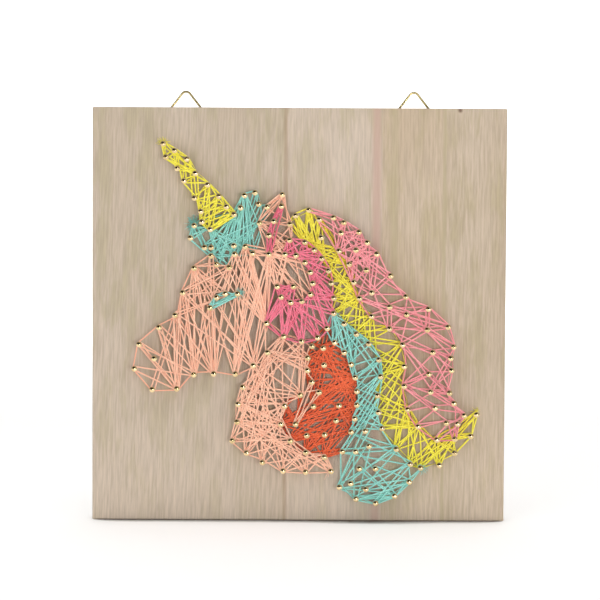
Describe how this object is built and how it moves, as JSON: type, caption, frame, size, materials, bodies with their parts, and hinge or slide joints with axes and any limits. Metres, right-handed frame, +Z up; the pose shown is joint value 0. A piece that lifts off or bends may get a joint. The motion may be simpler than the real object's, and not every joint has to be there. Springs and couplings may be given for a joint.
{
  "type": "string art wall plaque",
  "caption": "Square wooden plaque with a unicorn head drawn in coloured threads wound round brass-headed nails, with wire rings to hang it by.",
  "frame": {"origin": "middle of the board's lower edge face, halfway through its thickness", "axes": "+X to the right as the picture is looked at, +Z up, -Y out of the picture side"},
  "size_m": [0.22, 0.0237, 0.2293],
  "materials": {
    "wood_left": "sanded, unfinished",
    "wood_middle": "sanded, unfinished",
    "wood_right": "sanded, unfinished",
    "wood_edge": "sanded, unfinished",
    "nail_brass": "polished",
    "strap_brass": "satin",
    "ring_brass": "polished",
    "screw_brass": "satin",
    "thread_yellow": "matt spun cotton",
    "thread_turquoise": "matt spun cotton",
    "thread_peach": "matt spun cotton",
    "thread_pink": "matt spun cotton",
    "thread_rose": "matt spun cotton",
    "thread_orange": "matt spun cotton"
  },
  "bodies": {
    "plaque": {"board_stave_edge": "wood_edge", "board_stave_left": "wood_left", "board_stave_middle": "wood_middle", "board_stave_right": "wood_right", "nails_curl_hook": "nail_brass", "nails_curl_rim": "nail_brass", "nails_ear": "nail_brass", "nails_eye": "nail_brass", "nails_face_front": "nail_brass", "nails_forelock_lower": "nail_brass", "nails_forelock_top": "nail_brass", "nails_horn_left": "nail_brass", "nails_horn_right": "nail_brass", "nails_inner": "nail_brass", "nails_lock_left": "nail_brass", "nails_lock_middle": "nail_brass", "nails_lock_right": "nail_brass", "nails_lock_tip": "nail_brass", "nails_lock_top": "nail_brass", "nails_mane_middle": "nail_brass", "nails_mane_outer": "nail_brass", "nails_neck_front": "nail_brass", "nails_orange_left": "nail_brass", "nails_orange_lobe": "nail_brass", "nails_orange_middle": "nail_brass", "nails_orange_right": "nail_brass", "screw_left": "screw_brass", "screw_right": "screw_brass", "strap_left": "strap_brass", "strap_right": "strap_brass", "thread_cheek_curl": "thread_pink", "thread_ear": "thread_peach", "thread_ear_lining": "thread_pink", "thread_eyelid": "thread_turquoise", "thread_face": "thread_peach", "thread_forelock": "thread_turquoise", "thread_horn": "thread_yellow", "thread_inner_lock": "thread_turquoise", "thread_long_lock": "thread_yellow", "thread_neck": "thread_peach", "thread_orange_curl": "thread_orange", "thread_outer_mane": "thread_rose"},
    "ring_left": {"ring_left": "ring_brass"},
    "ring_right": {"ring_right": "ring_brass"}
  },
  "joints": [
    {"name": "ring_left_swing", "type": "hinge", "parent": "plaque", "child": "ring_left", "pos_m": [-0.061, 0.00725, 0.2164], "axis": [-1, 0, 0], "range_deg": [-5, 170]},
    {"name": "ring_right_swing", "type": "hinge", "parent": "plaque", "child": "ring_right", "pos_m": [0.061, 0.00725, 0.2164], "axis": [-1, 0, 0], "range_deg": [-5, 170]}
  ]
}
